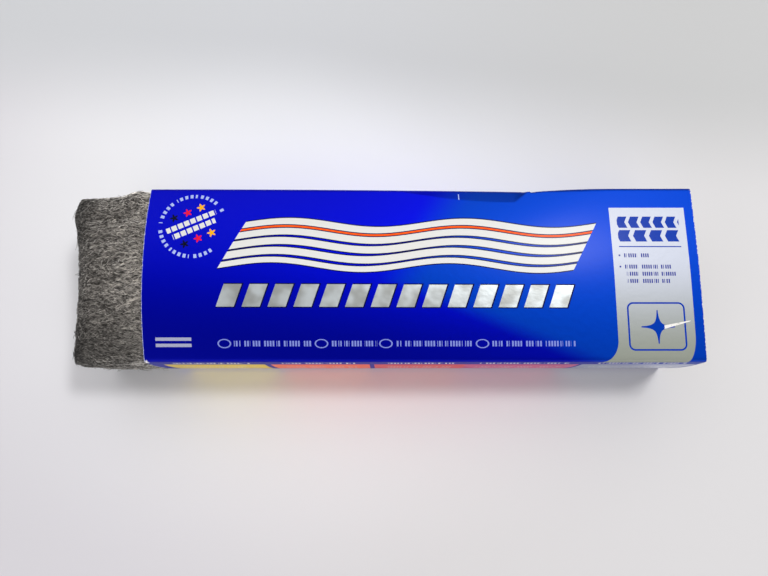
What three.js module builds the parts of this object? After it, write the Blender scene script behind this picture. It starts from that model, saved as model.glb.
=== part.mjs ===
// A pad of folded steel wool in an open-ended card sleeve, with one end of the pad drawn out.
// Millimetres, +Z up, X along the pad and the front wall at -Y. The origin is on the table, under
// the middle of the whole object. Everything is first laid out from the middle of the sleeve.
import * as THREE from "three";

// Sleeve: one card blank, folded round the pad and glued under it
const sleeveLength = 260;
const sleeveWidth = 83; // outside, from one upper fold to the other
const sleeveHeight = 48; // outside, at the front wall
const backRise = 1.5; // the back wall stands this much taller than the front one
const footSpread = 1.5; // each wall's foot stands this far outside its upper fold
const cardThickness = 0.45;
const foldRadius = 1.3; // outside radius of the four folds
const glueFlapWidth = 16; // the back wall's flap, which lies on the bottom panel
const glueSeamGap = 0.4; // from the bottom panel's cut edge to the fold beside it

// How the wool swells the card
const mouthCrown = 7; // rise of the top panel's middle at the mouth that the pad comes out of
const farCrown = 1.3; // the same rise at the other mouth
const wallBelly = 1.2; // outward swell of each wall, half way up
const endSkew = 0.017; // both ends slant, by this much along X for each millimetre across
const edgeWander = 0.2; // the card's cut edges stray this far from straight
const wanderSpacing = 11; // typical distance over which they do
const liftFoot = 0.3; // the top panel lifts the walls and the wool with it from this share of the height
const liftHead = 0.94; // and from here up they lift as far as it does

// The dent in the back upper fold
const dentPlace = 53; // from the middle of the sleeve
const dentDrop = 2;
const dentPush = 1; // inward
const dentWidth = 7; // from the fold to the crease in the top panel
const dentReachNear = 183; // fades out over this length towards the pad's free end
const dentReachFar = 40; // and over this length the other way

// Pad: one strand of wool, folded to and fro in layers
const padLength = 272;
const padOverhang = 38.6; // length that stands out of the sleeve
const padClearance = 0.4; // between the wool and the card
const layerCount = 4;
const foldDepth = 9; // how far a fold rounds back above and below
const cutEndDepth = 3; // the same for a layer's cut end
const endFade = 30; // the rounding of the ends dies away over this length
const layerGroove = 1; // depth of the groove between two layers
const padCornerRadius = 4;
const planCornerRound = 2; // how far the ends' corners round back, seen from above
const endHollow = 6; // the free end's middle lies this much further in than its corners
const hollowPlace = -6; // middle of that hollow, across the pad
const hollowReach = 38; // from there to where it ends on either side
const mouthFlare = 6; // outside the mouth the wool springs out over this length
const freeSwell = 0.8; // and by this much at the sides
const backTaper = 2.2; // the free end is this much narrower at the back
const taperLength = 60; // measured from the free end
const backStep = 2.4; // and the strands at the back end in a step this deep
const stepStart = 8; // distance of the step from the sleeve's mouth
const stepEnd = 17;
const lumpHeight = 0.6;
const lumpSpacing = 8; // typical distance over which the wool's surface undulates
const strandRise = 0.35; // the strands lie in ridges, this far above and below the surface
const strandSpacing = 11; // from one ridge to the next
const strandSway = 0.2; // the ridges swing sideways by this share of their spacing
const swayLength = 14; // typical distance along X over which they do

// Fineness of the meshes
const stationSpacing = 10; // along the sleeve
const panelSteps = 14; // across the top panel
const creaseSteps = 2; // between the crease and the fold
const wallSteps = 5;
const foldSteps = 3;
const padStepsAcross = 28;
const stepsPerLayer = 4;
const freeSteps = 4; // along the part of the pad that stands out

const { clamp, lerp, smoothstep } = THREE.MathUtils;

const halfWidth = sleeveWidth / 2;
const creaseY = halfWidth - dentWidth;
const mouthX = -sleeveLength / 2;
const farMouthX = sleeveLength / 2;
const padFreeX = mouthX - padOverhang;
const padHiddenX = padFreeX + padLength;
const sleeveSteps = Math.round(sleeveLength / stationSpacing);

// Rises from 0 at start to 1 at end in a straight line
function ramp(value, start, end) {
  return clamp((value - start) / (end - start), 0, 1);
}

// Calls move on each vertex of a geometry and stores where it leaves it
function movePoints(geometry, move) {
  const position = geometry.getAttribute("position");
  const point = new THREE.Vector3();
  for (let i = 0; i < position.count; i += 1) {
    point.fromBufferAttribute(position, i);
    move(point);
    position.setXYZ(i, point.x, point.y, point.z);
  }
  geometry.computeVertexNormals();
  return geometry;
}

// Share of the dent's full depth at a place along the sleeve
function dentShare(x) {
  const reach = x < dentPlace ? dentReachNear : dentReachFar;
  return Math.max(0, 1 - Math.abs(x - dentPlace) / reach) ** 2;
}

// Share of the top panel's movement that reaches a height
function liftShare(z) {
  return smoothstep(z / sleeveHeight, liftFoot, liftHead);
}

// How much higher the top panel is bowed at a place across it than at its folds
function bow(y, crown) {
  return crown * Math.max(0, 1 - (y / halfWidth) ** 2);
}

// Where the swollen section at the pad's mouth has a point of a square-sided one
function swellSection(y, z) {
  const across = y / halfWidth;
  const up = z / sleeveHeight;
  const spread = footSpread * (1 - up) + wallBelly * 4 * up * (1 - up);
  const lift = bow(y, mouthCrown) * liftShare(z) + backRise * up * (1 + across) / 2;
  return new THREE.Vector2(y + across * spread, z + lift);
}

// How far the cut edges, and each ring of card between them, stray along X at a point
function wander(point) {
  return edgeWander * Math.sin(point.y / wanderSpacing + 1) * Math.cos(point.z / wanderSpacing);
}

// Moves a point of the swollen section to where it lies at its own place along the sleeve
function swellAlong(point) {
  const lostCrown = (mouthCrown - farCrown) * smoothstep(point.x, mouthX, farMouthX);
  const share = liftShare(point.z);
  const dent = dentShare(point.x) * ramp(point.y, creaseY, halfWidth) * share;
  point.x += wander(point) - endSkew * point.y;
  point.z -= bow(point.y, lostCrown) * share + dentDrop * dent;
  point.y -= dentPush * dent;
}

// Adds the points of a straight run after the last one
function runTo(points, y, z, steps) {
  const from = points[points.length - 1];
  const to = new THREE.Vector2(y, z);
  for (let i = 1; i <= steps; i += 1) {
    points.push(from.clone().lerp(to, i / steps));
  }
}

// Adds a quarter turn about a fold's centre, anticlockwise from an angle given in quarter turns
function turnFold(points, centreY, centreZ, radius, firstQuarter) {
  for (let i = 1; i <= foldSteps; i += 1) {
    const angle = (firstQuarter + i / foldSteps) * Math.PI / 2;
    points.push(new THREE.Vector2(centreY + radius * Math.cos(angle), centreZ + radius * Math.sin(angle)));
  }
}

// The walls and top panel, up the back, over the top and down the front, on one face of the card
function wrapRound(points, inset) {
  const radius = foldRadius - inset;
  const side = halfWidth - inset;
  const top = sleeveHeight - inset;
  const foldY = halfWidth - foldRadius;
  const foldZ = sleeveHeight - foldRadius;
  turnFold(points, foldY, cardThickness + foldRadius, radius, 3);
  runTo(points, side, foldZ, wallSteps);
  turnFold(points, foldY, foldZ, radius, 0);
  runTo(points, creaseY, top, creaseSteps);
  runTo(points, -foldY, top, panelSteps);
  turnFold(points, -foldY, foldZ, radius, 1);
  runTo(points, -side, foldRadius, wallSteps);
  turnFold(points, -foldY, foldRadius, radius, 2);
}

function sleeveSection() {
  const foldY = halfWidth - foldRadius;
  const seamY = foldY - glueSeamGap;
  const outside = [new THREE.Vector2(-foldY, 0)];
  runTo(outside, seamY, 0, 1);
  runTo(outside, seamY, cardThickness, 1);
  runTo(outside, foldY, cardThickness, 1);
  wrapRound(outside, 0);
  outside.pop();

  const flapEdgeY = halfWidth - glueFlapWidth;
  const inside = [new THREE.Vector2(-foldY, cardThickness)];
  runTo(inside, flapEdgeY, cardThickness, 1);
  runTo(inside, flapEdgeY, 2 * cardThickness, 1);
  runTo(inside, foldY, 2 * cardThickness, 1);
  wrapRound(inside, cardThickness);
  inside.pop();

  const section = new THREE.Shape(outside.map(({ x, y }) => swellSection(x, y)));
  section.holes.push(new THREE.Path(inside.map(({ x, y }) => swellSection(x, y))));
  return section;
}

function buildSleeve() {
  const geometry = new THREE.ExtrudeGeometry(sleeveSection(), {
    depth: sleeveLength,
    steps: sleeveSteps,
    bevelEnabled: false,
  });
  const lengthways = new THREE.Matrix4().makeBasis(
    new THREE.Vector3(0, 1, 0),
    new THREE.Vector3(0, 0, 1),
    new THREE.Vector3(1, 0, 0),
  );
  geometry.applyMatrix4(lengthways);
  geometry.translate(mouthX, 0, 0);
  return movePoints(geometry, swellAlong);
}

// Places along X of the pad's rings of vertices. Inside the sleeve they are at the sleeve's own.
function padStations() {
  const stations = [];
  for (let i = 0; i <= freeSteps; i += 1) {
    stations.push(lerp(padFreeX, mouthX - mouthFlare, i / freeSteps));
  }
  const spacing = sleeveLength / sleeveSteps;
  for (let x = mouthX; x < padHiddenX - spacing / 2; x += spacing) {
    stations.push(x);
  }
  stations.push(padHiddenX);
  return stations;
}

// Spans of layers that one end shows: a fold takes in two layers, and a cut end one
function endSpans(firstSpan) {
  const spans = [];
  let first = 0;
  let size = firstSpan;
  while (first < layerCount) {
    const last = Math.min(first + size, layerCount);
    spans.push({ first, last });
    first = last;
    size = 2;
  }
  return spans;
}

// How far the end's surface lies back at a height, counted in layers from the bottom
function endInset(spans, height) {
  let inset = foldDepth;
  for (const { first, last } of spans) {
    const fromMiddle = Math.abs(2 * (height - first) / (last - first) - 1);
    const depth = last - first > 1 ? foldDepth : cutEndDepth;
    if (fromMiddle <= 1) {
      inset = Math.min(inset, depth * fromMiddle ** 4);
    }
  }
  return inset;
}

// Groove at the sides where two layers meet, 1 at its bottom
function grooveShare(height) {
  const toBoundary = Math.abs(height - Math.round(height));
  const outermost = Math.round(height) === 0 || Math.round(height) === layerCount;
  return outermost ? 0 : Math.max(0, 1 - toBoundary * stepsPerLayer);
}

// How far the free end's middle lies in, at a place across it
function hollow(y) {
  return endHollow * Math.max(0, 1 - ((y - hollowPlace) / hollowReach) ** 2);
}

// Height of the ridges of strands at a distance across them
function ridge(across, x) {
  const turns = across / strandSpacing + strandSway * Math.sin(x / swayLength);
  return strandRise * Math.sin(2 * Math.PI * turns);
}

function lump(point) {
  const x = point.x / lumpSpacing;
  const y = point.y / lumpSpacing;
  const z = point.z / lumpSpacing;
  return (Math.sin(1.3 * x + y) + Math.sin(1.1 * y - 1.2 * z + 1) + Math.sin(1.4 * z + 0.9 * x + 2)) / 3;
}

// Pulls a point of a rectangle's rim in onto its rounded corner
function roundCorner(point, halfY, middleZ, halfZ) {
  const core = new THREE.Vector2(halfY - padCornerRadius, halfZ - padCornerRadius);
  const centre = new THREE.Vector2(clamp(point.y, -core.x, core.x), clamp(point.z - middleZ, -core.y, core.y));
  const spoke = new THREE.Vector2(point.y, point.z - middleZ).sub(centre);
  if (Math.abs(centre.x) === core.x && Math.abs(centre.y) === core.y) {
    spoke.setLength(Math.min(spoke.length(), padCornerRadius));
    point.y = centre.x + spoke.x;
    point.z = middleZ + centre.y + spoke.y;
  }
}

function buildPad() {
  const stations = padStations();
  const lastStation = stations.length - 1;
  const freeSpans = endSpans(2);
  const hiddenSpans = endSpans(1);
  const block = new THREE.BoxGeometry(2, 2, 2, lastStation, padStepsAcross, layerCount * stepsPerLayer);

  return movePoints(block, (point) => {
    const across = point.y;
    const height = layerCount * (point.z + 1) / 2;
    const x = stations[Math.round(lastStation * (point.x + 1) / 2)];

    const out = ramp(x, mouthX, mouthX - mouthFlare);
    const bottom = (1 - out) * (2 * cardThickness + padClearance);
    const top = sleeveHeight - cardThickness - padClearance;
    const halfY = halfWidth - cardThickness - padClearance + freeSwell * out;
    point.set(x, across * halfY, lerp(bottom, top, height / layerCount));
    roundCorner(point, halfY, (top + bottom) / 2, (top - bottom) / 2);

    const corner = planCornerRound * across ** 8;
    const freeInset = endInset(freeSpans, height) + corner + hollow(point.y);
    const hiddenInset = endInset(hiddenSpans, height) + corner;
    point.x += freeInset * ramp(x, padFreeX + endFade, padFreeX);
    point.x -= hiddenInset * ramp(x, padHiddenX - endFade, padHiddenX);
    point.y -= layerGroove * grooveShare(height) * across ** 7;

    const taper = backTaper * ramp(x, padFreeX + taperLength, padFreeX)
      + backStep * smoothstep(mouthX - x, stepStart, stepEnd);
    const lumpRise = lumpHeight * lump(point) * out;
    const topRise = lumpRise + ridge(point.y, x) * out;
    const sideRise = lumpRise + ridge(point.z, x) * out;
    point.x += x === padFreeX ? topRise : 0;
    point.x += x === padHiddenX ? ridge(point.y, 0) : 0;
    point.y += sideRise * across ** 3 - taper * Math.max(0, across);
    point.z += point.z > top / 2 ? topRise * point.z / top : 0;
    const { x: swollenY, y: swollenZ } = swellSection(point.y, point.z);
    point.set(point.x, swollenY, swollenZ);
    swellAlong(point);
  });
}

const printedCard = new THREE.MeshStandardMaterial({ color: 0x000fb4, roughness: 0.25, metalness: 0.3 });
const steelWool = new THREE.MeshStandardMaterial({ color: 0x6a625c, roughness: 0.6, metalness: 0.7 });

const sleeve = new THREE.Mesh(buildSleeve(), printedCard);
sleeve.name = "card_sleeve";

const pad = new THREE.Mesh(buildPad(), steelWool);
pad.name = "wool_pad";

const pack = new THREE.Group();
pack.position.x = -(padFreeX + Math.max(farMouthX, padHiddenX)) / 2;
pack.add(pad, sleeve);

export default pack;
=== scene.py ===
# A block of folded steel wool in its printed card sleeve, seen from above on a white table.
import math

import bpy
import numpy as np
from mathutils import Matrix, Vector, noise
from mathutils.bvhtree import BVHTree


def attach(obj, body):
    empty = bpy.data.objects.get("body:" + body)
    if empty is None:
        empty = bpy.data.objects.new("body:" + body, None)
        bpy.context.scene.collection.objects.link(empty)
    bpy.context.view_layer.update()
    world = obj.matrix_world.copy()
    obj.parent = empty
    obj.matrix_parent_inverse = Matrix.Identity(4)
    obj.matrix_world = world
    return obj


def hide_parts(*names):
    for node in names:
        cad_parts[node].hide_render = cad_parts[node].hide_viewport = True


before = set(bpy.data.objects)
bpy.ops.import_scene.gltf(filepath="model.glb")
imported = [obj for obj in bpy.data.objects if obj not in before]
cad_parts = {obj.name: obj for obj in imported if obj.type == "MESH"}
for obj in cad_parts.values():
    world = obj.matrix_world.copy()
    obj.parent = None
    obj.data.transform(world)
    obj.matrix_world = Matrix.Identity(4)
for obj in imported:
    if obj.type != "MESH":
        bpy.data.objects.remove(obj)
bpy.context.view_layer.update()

MM = 0.001

# Camera, in millimetres from the middle of the sleeve, and in degrees
CAMERA_PLACE = (-17.7, -51.3, 316.6)
CAMERA_TURNS = (9.384, 0.128, -0.051)
FOCAL_PIXELS = 577
IMAGE_WIDTH = 768
SENSOR_WIDTH = 36
CAMERA_NEAREST = 0.01  # in metres

# Sleeve, in millimetres, as in the part's source
LENGTH = 260
WIDTH = 83
HEIGHT = 48
BACK_RISE = 1.5
FOOT_SPREAD = 1.5
CARD = 0.45
FOLD_RADIUS = 1.3
FLAP_WIDTH = 16
SEAM_GAP = 0.4
MOUTH_CROWN = 7
FAR_CROWN = 1.3
WALL_BELLY = 1.2
END_SKEW = 0.017
EDGE_WANDER = 0.2
WANDER_SPACING = 11
LIFT_FOOT = 0.3
LIFT_HEAD = 0.94
DENT_PLACE = 53
DENT_DROP = 2
DENT_PUSH = 1
DENT_REACH_NEAR = 183
DENT_REACH_FAR = 40

# The crease that bounds the dent in the top panel
CREASE_START = -16
CREASE_DEEPEST = 45
CREASE_WIDTH = 7.2
NOTCH_DROP = 0.5
NOTCH_REACH = 4
NOTCH_WIDTH = 1.5
FAR_FACET_WIDTH = 2.4
FAR_FACET_END = 75
LEAST_FACET = 1.7

# Pad, in millimetres, as in the part's source
PAD_LENGTH = 272
OVERHANG = 38.6
CLEARANCE = 0.4
LAYERS = 4
FOLD_DEPTH = 9
CUT_END_DEPTH = 3
END_FADE = 30
LAYER_GROOVE = 1
CORNER_RADIUS = 4
PLAN_CORNER = 2
END_HOLLOW = 6
HOLLOW_PLACE = -6
HOLLOW_REACH = 38
MOUTH_FLARE = 6
FREE_SWELL = 0.8
BACK_TAPER = 2.2
TAPER_LENGTH = 60
BACK_STEP = 2.4
STEP_START = 8
STEP_END = 17
LUMP_HEIGHT = 0.6
LUMP_SPACING = 8
LUMP_WAVES = ((1.3, 1, 0, 0), (0, 1.1, -1.2, 1), (0.9, 0, 1.4, 2))  # along X, Y and Z, and start
STRAND_RISE = 0.35
STRAND_SPACING = 11
STRAND_SWAY = 0.2
SWAY_LENGTH = 14
GROOVE_REACH = 0.25  # share of a layer's height, on either side of a groove

# How square the pad's forms are: the higher the power, the squarer
FOLD_POWER = 4
PLAN_CORNER_POWER = 8
GROOVE_POWER = 7
SIDE_POWER = 3

HALF_WIDTH = WIDTH / 2
MOUTH = -LENGTH / 2
FAR_MOUTH = LENGTH / 2
PAD_FREE = MOUTH - OVERHANG
PAD_HIDDEN = PAD_FREE + PAD_LENGTH
SHIFT = -(PAD_FREE + max(FAR_MOUTH, PAD_HIDDEN)) / 2  # from the sleeve's middle to the frame's
TINY = 1e-9  # keeps lengths that are divided by above 0


def ramp(value, start, end):
    return np.clip((value - start) / (end - start), 0, 1)


def smooth(value, start, end):
    t = ramp(value, start, end)
    return t * t * (3 - 2 * t)


def add_object(name, data):
    thing = bpy.data.objects.new(name, data)
    bpy.context.collection.objects.link(thing)
    return thing


def new_mesh(name, points, faces, materials, face_material=None):
    """A mesh object from points in millimetres from the sleeve's middle and a list of faces."""
    mesh = bpy.data.meshes.new(name)
    placed = (np.asarray(points) + [SHIFT, 0, 0]) * MM
    mesh.from_pydata(placed.tolist(), [], faces)
    for material in materials:
        mesh.materials.append(material)
    if face_material is not None:
        mesh.polygons.foreach_set("material_index", np.asarray(face_material, np.int32))
    return add_object(name, mesh)


def mark(mesh, name, kind, domain, values):
    """Gives each point or edge of a mesh a value of its own, under a name."""
    attribute = mesh.attributes.new(name, kind, domain)
    attribute.data.foreach_set("vector" if kind == "FLOAT_VECTOR" else "value", values)


# The swelling of the sleeve and of the pad in it

def lift_share(z):
    return smooth(z / HEIGHT, LIFT_FOOT, LIFT_HEAD)


def bow(y, crown):
    return crown * np.maximum(0, 1 - (y / HALF_WIDTH) ** 2)


def swell_section(y, z):
    across = y / HALF_WIDTH
    up = z / HEIGHT
    spread = FOOT_SPREAD * (1 - up) + WALL_BELLY * 4 * up * (1 - up)
    lift = bow(y, MOUTH_CROWN) * lift_share(z) + BACK_RISE * up * (1 + across) / 2
    return y + across * spread, z + lift


def dent_depth(x):
    """Depth of the dent along the back upper fold, as a share of its deepest."""
    reach = np.where(x < DENT_PLACE, DENT_REACH_NEAR, DENT_REACH_FAR)
    return np.maximum(0, 1 - np.abs(x - DENT_PLACE) / reach) ** 2


def facet_width(x):
    """Distance from the back upper fold to the crease in the top panel."""
    rising = ramp(x, CREASE_START, CREASE_DEEPEST)
    near = CREASE_WIDTH * (1 - (1 - rising) ** 2)
    near = near * ramp(x, DENT_PLACE, CREASE_DEEPEST)
    far = FAR_FACET_WIDTH * ramp(x, FAR_FACET_END, DENT_PLACE)
    return np.maximum(np.where(x < DENT_PLACE, near, far), LEAST_FACET)


def swell_along(x, y, z):
    lost = (MOUTH_CROWN - FAR_CROWN) * smooth(x, MOUTH, FAR_MOUTH)
    share = lift_share(z)
    dent = dent_depth(x) * ramp(y, HALF_WIDTH - facet_width(x), HALF_WIDTH) * share
    notch = np.maximum(0, 1 - np.abs(x - DENT_PLACE) / NOTCH_REACH)
    notch = notch * ramp(y, HALF_WIDTH - NOTCH_WIDTH, HALF_WIDTH) * share
    wander = EDGE_WANDER * np.sin(y / WANDER_SPACING + 1) * np.cos(z / WANDER_SPACING)
    drop = bow(y, lost) * share + DENT_DROP * dent + NOTCH_DROP * notch
    x = x + wander - END_SKEW * y
    return x, y - DENT_PUSH * dent - NOTCH_DROP * notch / 2, z - drop


# Sleeve

BOTTOM_STEPS = 18
FLAP_STEPS = 4
WALL_STEPS = 22
PANEL_STEPS = 80
CREASE_STEPS = 20
FOLD_STEPS = 5
SLEEVE_SPACING = 1.5
DENT_SPACING = 0.6
DENT_FINE = 14  # the rings are closer together up to this far from the dent
CREASE_MARGIN = 1  # and so are their points, up to this far past the crease
SEAM_FACE = BOTTOM_STEPS + FLAP_STEPS  # number of the face that is the bottom panel's cut edge


def section_loop(inset):
    """Points (y, z, v) of one face of the card, v being the distance round it from the top's middle."""
    loop = []
    radius = FOLD_RADIUS - inset
    fold_y = HALF_WIDTH - FOLD_RADIUS
    fold_z = HEIGHT - FOLD_RADIUS
    side = HALF_WIDTH - inset
    top = HEIGHT - inset
    crease = HALF_WIDTH - CREASE_WIDTH - CREASE_MARGIN
    around = HALF_WIDTH + HEIGHT

    def run(y, z, steps, v_at):
        y0, z0 = loop[-1][:2]
        for i in range(1, steps + 1):
            t = i / steps
            point = (y0 + (y - y0) * t, z0 + (z - z0) * t)
            loop.append((*point, v_at(*point)))

    def turn(y, z, first_quarter, v_at):
        for i in range(1, FOLD_STEPS + 1):
            angle = (first_quarter + i / FOLD_STEPS) * math.pi / 2
            point = (y + radius * math.cos(angle), z + radius * math.sin(angle))
            loop.append((*point, v_at(*point)))

    def under(y, z):
        return -around - (y + HALF_WIDTH)

    def back(y, z):
        return around - z

    def front(y, z):
        return -HALF_WIDTH - (HEIGHT - z)

    def over(y, z):
        return y

    floor = CARD if inset else 0
    loop.append((-fold_y, floor, under(-fold_y, floor)))
    if inset:
        flap_edge = HALF_WIDTH - FLAP_WIDTH
        run(flap_edge, CARD, BOTTOM_STEPS, under)
        run(flap_edge, 2 * CARD, 1, under)
        run(fold_y, 2 * CARD, FLAP_STEPS + 1, under)
    else:
        seam = fold_y - SEAM_GAP
        run(seam, 0, BOTTOM_STEPS + FLAP_STEPS, under)
        run(seam, CARD, 1, under)
        run(fold_y, CARD, 1, back)
    turn(fold_y, CARD + FOLD_RADIUS, 3, back)
    run(side, fold_z, WALL_STEPS, back)
    turn(fold_y, fold_z, 0, lambda y, z: HALF_WIDTH if y - fold_y > z - fold_z else y)
    run(crease, top, CREASE_STEPS, over)
    run(-fold_y, top, PANEL_STEPS, over)
    turn(-fold_y, fold_z, 1, over)
    run(-side, FOLD_RADIUS, WALL_STEPS, front)
    turn(-fold_y, FOLD_RADIUS, 2, front)
    loop.pop()
    return np.array(loop)


def sleeve_stations():
    """Places along X of the sleeve's rings, closer together where the dent is."""
    stations = [MOUTH]
    while stations[-1] < FAR_MOUTH:
        x = stations[-1]
        near_dent = DENT_PLACE - DENT_FINE < x < DENT_PLACE + DENT_FINE
        stations.append(min(FAR_MOUTH, x + (DENT_SPACING if near_dent else SLEEVE_SPACING)))
    return np.array(stations)


def sleeve_points(stations, loop):
    """Points of one face of the card, and their places in the print."""
    y, z = swell_section(loop[:, 0], loop[:, 1])
    x_grid, y_grid = np.meshgrid(stations, y, indexing="ij")
    z_grid = np.broadcast_to(z, x_grid.shape)
    v_grid = np.broadcast_to(loop[:, 2], x_grid.shape)
    points = np.stack(swell_along(x_grid, y_grid, z_grid), axis=-1)
    places = np.stack([x_grid, v_grid, 0 * x_grid], axis=-1)
    return points.reshape(-1, 3), places.reshape(-1, 3)


def sleeve_faces(rings, count):
    """Faces of the sleeve, and for each 0 where it is printed and 1 where it is bare board."""
    faces, bare = [], []
    inner = rings * count
    for i in range(rings - 1):
        a, b = i * count, (i + 1) * count
        for j in range(count):
            k = (j + 1) % count
            faces.append((a + j, a + k, b + k, b + j))
            faces.append((inner + a + j, inner + b + j, inner + b + k, inner + a + k))
            bare += [1 if j == SEAM_FACE else 0, 1]
    last = (rings - 1) * count
    for j in range(count):
        k = (j + 1) % count
        faces.append((j, inner + j, inner + k, k))
        faces.append((last + j, last + k, inner + last + k, inner + last + j))
        bare += [1, 1]
    return faces, bare


def mark_sharp_edges(mesh, rings, count):
    """Keeps the card's cut edges crisp in the smooth shading."""
    edge_points = np.zeros(2 * len(mesh.edges), dtype=np.int64)
    mesh.edges.foreach_get("vertices", edge_points)
    edge_points = edge_points.reshape(-1, 2) % (rings * count)
    ring, along = edge_points // count, edge_points % count
    at_mouth = ((ring == 0) | (ring == rings - 1)).all(axis=1)
    at_seam = np.isin(along, [SEAM_FACE, SEAM_FACE + 1]).all(axis=1) & (along[:, 0] == along[:, 1])
    mark(mesh, "sharp_edge", "BOOLEAN", "EDGE", at_mouth | at_seam)


def build_sleeve(print_material, board_material):
    stations = sleeve_stations()
    sides = [sleeve_points(stations, section_loop(inset)) for inset in (0, CARD)]
    points, places = (np.concatenate(both) for both in zip(*sides))
    rings = len(stations)
    count = len(points) // (2 * rings)
    faces, bare = sleeve_faces(rings, count)
    piece = new_mesh("printed_sleeve", points, faces, [print_material, board_material], bare)
    mesh = piece.data
    mark(mesh, "print_place", "FLOAT_VECTOR", "POINT", places.astype(np.float32).ravel())
    mesh.shade_smooth()
    mark_sharp_edges(mesh, rings, count)
    return piece


# Pad

PAD_SPACING = 0.9
HIDDEN_SPACING = 6
FINE_PAST_MOUTH = 4  # the fine spacing runs on this far into the sleeve
PAD_STEPS_ACROSS = 92
STEPS_PER_LAYER = 14


def pad_stations():
    shown = np.arange(PAD_FREE, MOUTH + FINE_PAST_MOUTH, PAD_SPACING)
    hidden = np.arange(shown[-1] + HIDDEN_SPACING, PAD_HIDDEN - END_FADE, HIDDEN_SPACING)
    far = np.arange(PAD_HIDDEN - END_FADE, PAD_HIDDEN + PAD_SPACING / 2, PAD_SPACING)
    far[-1] = PAD_HIDDEN
    return np.concatenate([shown, hidden, far])


def end_spans(size):
    """The layers that one end's folds take up: as many as size in the first, and then two in each."""
    spans = []
    first = 0
    while first < LAYERS:
        spans.append((first, min(first + size, LAYERS)))
        first += size
        size = 2
    return spans


FREE_SPANS = end_spans(2)
HIDDEN_SPANS = end_spans(1)


def end_inset(spans, height):
    inset = np.full_like(height, FOLD_DEPTH)
    for first, last in spans:
        from_middle = np.abs(2 * (height - first) / (last - first) - 1)
        depth = FOLD_DEPTH if last - first > 1 else CUT_END_DEPTH
        inside = np.where(from_middle <= 1, depth * from_middle**FOLD_POWER, FOLD_DEPTH)
        inset = np.minimum(inset, inside)
    return inset


def groove_share(height):
    nearest = np.round(height)
    share = np.maximum(0, 1 - np.abs(height - nearest) / GROOVE_REACH)
    return np.where((nearest == 0) | (nearest == LAYERS), 0, share)


def hollow(y):
    """How far the free end's middle lies in, at a place across it."""
    return END_HOLLOW * np.maximum(0, 1 - ((y - HOLLOW_PLACE) / HOLLOW_REACH) ** 2)


def ridge(across, x):
    """Height of the ridges of strands at a distance across them."""
    turns = across / STRAND_SPACING + STRAND_SWAY * np.sin(x / SWAY_LENGTH)
    return STRAND_RISE * np.sin(2 * math.pi * turns)


def lump(*place):
    """Height of the uneven surface, as a share."""
    x, y, z = (along / LUMP_SPACING for along in place)
    waves = [np.sin(a * x + b * y + c * z + start) for a, b, c, start in LUMP_WAVES]
    return sum(waves) / len(LUMP_WAVES)


def round_corners(y, z, half_y, half_z, middle):
    """Rounds a section's four corners."""
    core_y, core_z = half_y - CORNER_RADIUS, half_z - CORNER_RADIUS
    centre_y, centre_z = np.clip(y, -core_y, core_y), np.clip(z - middle, -core_z, core_z)
    spoke_y, spoke_z = y - centre_y, z - middle - centre_z
    length = np.hypot(spoke_y, spoke_z)
    in_corner = (np.abs(centre_y) == core_y) & (np.abs(centre_z) == core_z) & (length > CORNER_RADIUS)
    shrink = np.where(in_corner, CORNER_RADIUS / np.maximum(length, TINY), 1)
    return centre_y + spoke_y * shrink, middle + centre_z + spoke_z * shrink


def shape_pad(station, across, up):
    """Points of the pad for stations along X and for places across and up, from -1 to 1."""
    height = LAYERS * (up + 1) / 2
    out = ramp(station, MOUTH, MOUTH - MOUTH_FLARE)
    bottom = (1 - out) * (2 * CARD + CLEARANCE)
    top = HEIGHT - CARD - CLEARANCE
    half_y = HALF_WIDTH - CARD - CLEARANCE + FREE_SWELL * out
    z = bottom + (top - bottom) * height / LAYERS
    y, z = round_corners(across * half_y, z, half_y, (top - bottom) / 2, (top + bottom) / 2)

    corner = PLAN_CORNER * across**PLAN_CORNER_POWER
    free_inset = end_inset(FREE_SPANS, height) + corner + hollow(y)
    hidden_inset = end_inset(HIDDEN_SPANS, height) + corner
    x = station + free_inset * ramp(station, PAD_FREE + END_FADE, PAD_FREE)
    x = x - hidden_inset * ramp(station, PAD_HIDDEN - END_FADE, PAD_HIDDEN)
    y = y - LAYER_GROOVE * groove_share(height) * across**GROOVE_POWER

    taper = BACK_TAPER * ramp(station, PAD_FREE + TAPER_LENGTH, PAD_FREE)
    taper = taper + BACK_STEP * smooth(MOUTH - station, STEP_START, STEP_END)
    lump_rise = LUMP_HEIGHT * lump(x, y, z) * out
    top_rise = lump_rise + ridge(y, station) * out
    side_rise = lump_rise + ridge(z, station) * out
    x = x + np.where(station == PAD_FREE, top_rise, 0)
    x = x + np.where(station == PAD_HIDDEN, ridge(y, 0), 0)
    y = y + side_rise * across**SIDE_POWER - taper * np.maximum(0, across)
    z = z + np.where(z > top / 2, top_rise * z / top, 0)
    y, z = swell_section(y, z)
    return np.stack(swell_along(x, y, z), axis=-1)


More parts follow.
